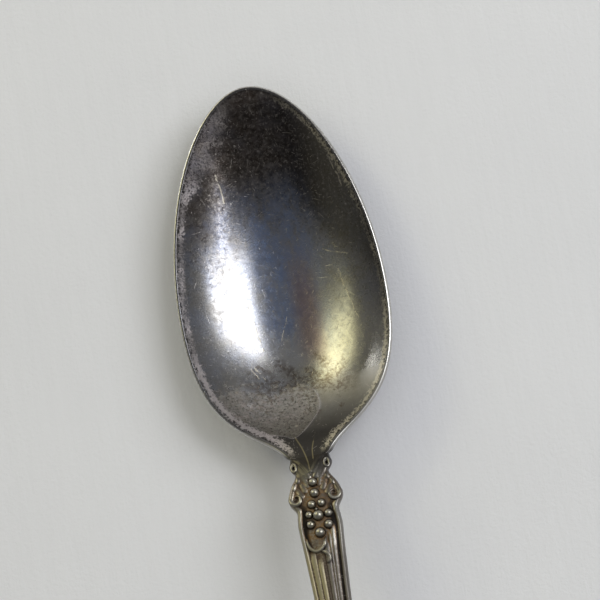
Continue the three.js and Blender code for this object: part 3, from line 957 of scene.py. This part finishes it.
def bowl_silver(groups):
    """Tarnished silver, worn along the rim, with a stained patch toward the heel and a painted dark
    reflection toward the tip.
    """
    material, nodes, shader = new_finish("bowl_silver")
    where = nodes.where()
    x, y, _ = nodes.parts(where)
    rim = nodes.attribute("rim")
    under = nodes.attribute("underside")
    inside = 1 - under
    on_bowl = y.step(*BOWL_FADE)
    by_rim = inside * on_bowl

    def shifted(*away):
        return nodes.vector("ADD", where, away)

    def coat(tint, share):
        nonlocal color
        color = color.coated(tint, share)

    # tarnish, lighter at the heel's right, with painted dark reflection toward the tip: brown and near black
    # there
    painted_dark_tip = y.step(60, 98) * inside
    heel = y.step(48, 32)
    bright_corner = x.step(4, 11) * y.step(60, 52) * inside
    lower_half = y.step(64, 52) * inside
    amount = painted_dark_tip * 0.5 + 0.5 + abs(x).step(3, 15) * 0.2 - bright_corner * 0.25 - lower_half * 0.12
    tarnish = nodes.group(groups["tarnish"], Where=where, Amount=amount, Brown=painted_dark_tip * 0.75 + heel * 0.25)
    # painted dark reflection: near black clouds over the tip, inside the rim
    painted_black_tip = y.step(66, 92) * rim.step(1.2, 5) * inside
    clouds = nodes.noise(where, 0.5, 7, 0.8, 0.5).step(0.42, 0.6, 0.35, 0.75)
    color = tarnish["Color"]
    coat(PIT_AND_SHADE_BLACK, painted_black_tip * clouds)
    # painted dark reflection over the upper right of the bowl, toward the tip
    painted_dark_reflection_right = (x * 1.3 + y).step(85, 93) * x.step(2, 8) * inside
    coat(PIT_AND_SHADE_BLACK, painted_dark_reflection_right * 0.68)
    # blue, ruddy and olive hues across the middle, with light and dark flecks
    middle = abs(x - 1).step(9.5, 3) * y.step(46, 58) * y.step(90, 74) * inside
    streaks = nodes.noise(nodes.vector("MULTIPLY", where, (1, 0.5, 1)), 0.35, 7, 0.75).step(0.3, 0.65)
    coat(BLUE_TARNISH, middle * streaks * 0.85)
    ruddy = abs(x - 4).step(4.5, 0.5) * y.step(44, 52) * y.step(76, 60) * inside
    coat(RUDDY_TARNISH, ruddy * 0.65)
    coat(OLIVE_TARNISH, x.step(7, 15) * inside * 0.45)
    above_stain = y.step(42, 50) * inside
    flecks = nodes.noise(where, 1.7, 7, 0.85, 0.4).step(0.52, 0.68) * y.step(62, 80, 0.45, 0.8)
    coat(PALE_FILM, flecks * above_stain)
    dark_flecks = nodes.noise(shifted(13, 5, 0), 1.5, 7, 0.85, 0.4).step(0.53, 0.68)
    coat(BROWN_TARNISH, dark_flecks * above_stain * 0.45)
    # the smooth olive run from the bowl's floor into the neck
    olive = nodes.attribute("olive")
    coat(OLIVE_TARNISH, olive * 0.6)
    coat(PIT_AND_SHADE_BLACK, y.step(41, 30) * inside * 0.86)
    # stained patch, mottled and pitted, with a dark bitten border above it
    stain = nodes.attribute("stain")
    wavy = y + nodes.noise(where, 0.35, 5, 0.65).step(0.25, 0.75, -5, 5)
    border = wavy.step(38, 41) * wavy.step(49, 44) * abs(x).step(14, 8) * inside
    bites = nodes.noise(where, 1.3, 6, 0.75, 0.6).step(0.42, 0.56)
    coat(BROWN_TARNISH, border * bites * 0.75)
    patch = stain.step(0.1, -0.3) * wavy.step(46, 41) * rim.step(1.6, 2.6)
    coat(STAIN_FILM, patch * 0.35)
    blotch = nodes.noise(where, 0.6, 7, 0.85, 0.8).step(0.47, 0.57) * 0.88 + 0.08
    cloudy = nodes.noise(shifted(5, 0, 0), 0.2, 4, 0.7).step(0.4, 0.6, 0.35, 1)
    coat(PINK_FILM, patch * blotch * cloudy * stain.step(0, -7, 0.2, 1))
    coat(BROWN_TARNISH, patch * bites * 0.3)
    pits = nodes.noise(where, 1.9, 6, 0.8).step(0.51, 0.62)
    coat(PIT_AND_SHADE_BLACK, patch * pits * 0.8)
    spots = nodes.group(groups["specks"], Where=shifted(7, 3, 1), Spacing=2.9)["Mask"]
    coat(STRAW_FILM, patch * spots * 0.6)
    edge_line = abs(stain).step(0.16, 0.03) * y.step(44, 38) * inside
    coat(PALE_FILM, edge_line * 0.5)
    folds = fold_mask(nodes, groups)
    coat(GOLD_WEAR_AND_WARM_REFLECTION, folds * inside * 0.4)
    # worn band just inside the rim, broad on the left toward the tip
    left = x.step(0, -8)
    broad = left * y.step(83, 90) * y.step(104, 97)
    ragged = rim + nodes.noise(where, 1.6, 6, 0.75, 0.5).step(0.25, 0.75, -0.75, 0.75)
    uneven = nodes.noise(where, 0.3, 6, 0.75).step(0.3, 0.7, 1, 5.5)
    reach = broad * uneven + left * 0.5 + 1.75
    flecked = nodes.most(nodes.noise(where, 3.0, 5, 0.75).step(0.38, 0.52), y.step(64, 52, 0, 0.75))
    shown = nodes.most(nodes.noise(where, 0.12, 3).step(0.4, 0.52) * 0.4 + 0.6, y.step(60, 48))
    band = ragged.step(0.85, 1.05) * (ragged / reach).step(1.15, 0.85) * by_rim
    band = band * flecked * shown * y.step(105, 97)
    coat(nodes.mix(left, STRAW_FILM, LILAC_FILM), band * (0.95 - broad * 0.76))
    # the rim itself: a dark groove, a grey land, a polished edge and a dark wall below
    groove = ragged.step(0.55, 0.8) * ragged.step(1.25, 1.0) * by_rim
    coat(PIT_AND_SHADE_BLACK, groove * 0.75)
    land = rim.step(0.42, 0.56) * rim.step(0.98, 0.8) * by_rim
    coat(GREY_TARNISH, land * 0.72)
    outer_wall = under * rim.step(5, 1.5) * y.step(BOWL_FADE[0], 30)
    coat(PIT_AND_SHADE_BLACK, outer_wall * 0.6)
    polished = rim.step(0.5, 0.36) * on_bowl * (1 - under * 0.7)
    coat(BRIGHT_SILVER, polished * 0.9)
    # scratches and specks
    fine = nodes.group(groups["scratches"], Where=where, Spacing=3.4, Width=0.07)["Mask"]
    finer = nodes.group(groups["scratches"], Where=shifted(31, 17, 0), Spacing=1.3, Width=0.06)["Mask"]
    line = groups["line_mark"]
    lines = [nodes.group(line, Where=where, From=(*start, 0), To=(*end, 0), Width=width)["Mask"]
             for start, end, width in LONG_SCRATCHES]
    long_marks = nodes.most(*lines)
    scratched = nodes.most(fine, finer, long_marks)
    dust = nodes.group(groups["specks"], Where=shifted(3, 9, 5), Spacing=1.3)["Mask"]
    coat(PALE_FILM, scratched * 0.65)
    coat(STRAW_FILM, long_marks * 0.6)
    coat(PALE_FILM, dust * 0.7)
    rough = nodes.most(tarnish["Mottle"].step(0.3, 0.7, 0.2, 0.3), patch * 0.4, olive * 0.42, band * 0.5,
                       scratched * 0.5)
    bitten = scratched * 0.35 + patch * pits * 0.6 + folds * 0.8
    height = (tarnish["Grain"] + tarnish["Mottle"]) * 0.1 - bitten
    finish_silver(nodes, shader, color, rough, height)
    return material


def handle_silver(name, groups):
    """Silver of the ornament and the reeded stem, with painted reflections of the lamps, gold on its left and
    lilac on its right; dark in hollows.
    """
    material, nodes, shader = new_finish(name)
    where = nodes.where()
    x, y, _ = nodes.parts(where)
    high = nodes.attribute("high")
    in_throat = nodes.attribute("olive")
    # painted reflection of the warm lamp on the left and the cool window on the right, laid strongest on the
    # reeded stem
    reeded = y.step(10, 4) * y.step(-68, -58)
    side_reflection_tint = reeded * 0.55 + 0.3
    tarnish = nodes.group(groups["tarnish"], Where=where, Amount=0.65, Brown=0.3)
    across = (x + nodes.noise(where, 0.5, 4, 0.7)).step(-0.3, 0.5)
    base = tarnish["Color"].coated(nodes.mix(across, GOLD_WEAR_AND_WARM_REFLECTION, LILAC_COOL_REFLECTION), side_reflection_tint)
    recessed = nodes.group(groups["recess_tarnish"], Color=base, Where=where,
                           Warm=nodes.mix(reeded, AMBER_TARNISH, BROWN_TARNISH),
                           Rub=y.step(22, 24, 0.45, 0.2) - reeded * 0.3,
                           Recess=nodes.attribute("recess"), High=high)
    scratched = nodes.group(groups["scratches"], Where=where, Spacing=1.3, Width=0.06)["Mask"]
    color = recessed["Color"].coated(PALE_FILM, scratched * 0.4)
    color = color.coated(OLIVE_TARNISH, in_throat * 0.75)
    leaves = abs(x).step(1.4, 2.4) * y.step(24, 22) * y.step(15, 17) * high.step(0.5, 0.1)
    color = color.coated(BROWN_TARNISH, leaves * 0.55)
    sheltered = (1 - nodes.attribute("underside")) * high.step(0.6, 0.1)
    color = color.coated(PIT_AND_SHADE_BLACK, sheltered * y.step(20.5, 25.5) * 0.86)
    color = color.coated(GOLD_WEAR_AND_WARM_REFLECTION, fold_mask(nodes, groups) * in_throat * 0.4)
    rough = tarnish["Mottle"].step(0.3, 0.7, 0.2, 0.34) + recessed["Dark"] * 0.14 + side_reflection_tint * 0.28
    height = tarnish["Grain"] * 0.1 + tarnish["Mottle"] * 0.5
    finish_silver(nodes, shader, color, rough, height)
    return material


def pale_floor():
    material, nodes, shader = new_finish("pale_floor")
    where = nodes.where()
    fibres = nodes.noise(nodes.vector("MULTIPLY", where, (1, 0.08, 1)), 0.5, 4, 0.6)
    blots = nodes.noise(where, 0.02, 4, 0.6)
    shade = fibres.step(0.3, 0.7, -0.03, 0.03) + blots.step(0.3, 0.7, -0.06, 0.06)
    nodes.feed(shader.inputs["Base Color"], nodes.mix(shade + 0.5, FLOOR_DARK, FLOOR_LIGHT))
    shader.inputs["Roughness"].default_value = 0.95
    add_bump(nodes, shader, fibres + nodes.noise(where, 1.1, 4, 0.6), FIBRE_DEPTH)
    return material


def add_piece(name, mesh, material, replaced):
    piece = new_object(name, mesh)
    if not mesh.materials:
        mesh.materials.append(material)
    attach(piece, "root")
    if replaced:
        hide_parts(replaced)


# Camera and light
TARGET = Vector((3.65, TIP_Y - 46.97, RIM_LOW)) * MM
SIDE_TILT = math.radians(4.5)
HANDLE_TILT = math.radians(11)
CAMERA_TURN = math.radians(10.27)
CAMERA_DISTANCE = 0.55
VIEW_WIDTH = 0.12347
FLOOR_HALF = 4.0
FLOOR_LEVEL = -0.03 * MM
WORLD_BRIGHTNESS = 0.19


def add_camera():
    camera = new_object("camera", bpy.data.cameras.new("camera"))
    back = Vector((math.tan(SIDE_TILT), -math.tan(HANDLE_TILT), 1)).normalized()
    up = Vector((math.sin(CAMERA_TURN), math.cos(CAMERA_TURN), 0))
    right = up.cross(back).normalized()
    up = back.cross(right)
    turn = Matrix((right, up, back)).transposed().to_4x4()
    camera.matrix_world = Matrix.Translation(TARGET + back * CAMERA_DISTANCE) @ turn
    camera.data.lens = camera.data.sensor_width * CAMERA_DISTANCE / VIEW_WIDTH
    bpy.context.scene.camera = camera


def add_panel(name, place, size, brightness, colour, backed=(0, 0, 1)):
    """A light panel with its back to the given direction; brightness is that of its own surface."""
    light = bpy.data.lights.new(name, "AREA")
    light.shape = "RECTANGLE"
    light.size, light.size_y = size
    light.energy = brightness * math.pi * size[0] * size[1]
    light.color = colour
    panel = new_object(name, light)
    panel.location = TARGET + Vector(place)
    panel.rotation_euler = Vector(backed).to_track_quat("Z", "Y").to_euler()
    panel.visible_camera = False
    return panel


def add_floor():
    mesh = bpy.data.meshes.new("floor")
    corners = [(x * FLOOR_HALF, y * FLOOR_HALF, FLOOR_LEVEL) for x, y in ((-1, -1), (1, -1), (1, 1), (-1, 1))]
    mesh.from_pydata(corners, [], [(0, 1, 2, 3)])
    floor = new_object("floor", mesh)
    mesh.materials.append(pale_floor())


def add_surroundings():
    world = bpy.data.worlds.new("studio")
    bpy.context.scene.world = world
    world.use_nodes = True
    background = world.node_tree.nodes["Background"]
    background.inputs["Color"].default_value = (0.97, 0.98, 1.0, 1)
    background.inputs["Strength"].default_value = WORLD_BRIGHTNESS


def build():
    bpy.context.scene.view_settings.view_transform = "Standard"
    add_camera()
    add_surroundings()
    add_floor()
    add_panel("window", (1.05, 0.26, 1.0), (1.36, 0.5), 6.0, (0.95, 0.97, 1.0))
    add_panel("window_top", (0.9, -0.17, 1.0), (0.36, 0.36), 5.0, (0.95, 0.97, 1.0))
    add_panel("warm_sheet", (-1.25, 0.95, 1.0), (1.5, 1.1), 1.85, (0.96, 0.93, 0.54))
    add_panel("warm_lamp", (-0.94, 1.09, 1.0), (0.36, 0.24), 11.0, (1.0, 0.94, 0.62))
    add_panel("far_wall", (0.0, 1.5, 0.45), (3.0, 0.9), 0.5, (1.0, 0.98, 0.94), backed=(0, 1, 0))
    add_panel("side_glow", (-1.15, 0.9, 0.055), (0.4, 0.12), 11.5, (0.95, 0.97, 1.0), backed=(-1, 0.8, 0.1))
    fill = add_panel("fill", (0.0, 0.0, 1.4), (2.0, 2.0), 0.56, (0.99, 0.99, 1.0))
    fill.visible_glossy = False
    groups = {"scratches": scratch_group(), "line_mark": line_group(), "specks": speck_group(),
              "fold_lines": fold_group(), "tarnish": tarnish_group(), "recess_tarnish": recess_group()}
    finishes = {"bowl_silver": bowl_silver(groups),
                "ornament_silver": handle_silver("ornament_silver", groups),
                "stem_silver": handle_silver("stem_silver", groups)}
    slots = {"bowl": "bowl_silver", "stem": "stem_silver"}
    skins = make_skin()
    for zone in ZONES:
        slot = slots.get(zone, "ornament_silver")
        add_piece(zone + "_skin", skins[zone], finishes[slot], zone)
    ornament = finishes["ornament_silver"]
    beads, balls = bead_tree(), berry_tree()
    scrolls = [volute_line(side, VOLUTE_STATION, 1, 1) for side in (-1, 1)]
    end_scrolls = [volute_line(side, END_ORNAMENT, END_SCALE, -1) for side in (-1, 1)]
    curls = [tapered_line(CURL, CURL_THICKNESS), tapered_line(HOOK, HOOK_THICKNESS)]
    rings = [ring_line(-1), ring_line(1)]
    for name, lines, closed in (("volute_scrolls", scrolls, False), ("end_scrolls", end_scrolls, False),
                                ("collar_rings", rings, True), ("curls", curls, False)):
        mesh = grow(name, line_mesh(name, lines, closed), beads, BEAD_SIDES, ornament)
        add_piece(name, mesh, ornament, None)
    berries = grow("berries", point_mesh("berries", berry_places()), balls, BERRY_DETAIL, ornament)
    add_piece("berries", berries, ornament, None)


build()
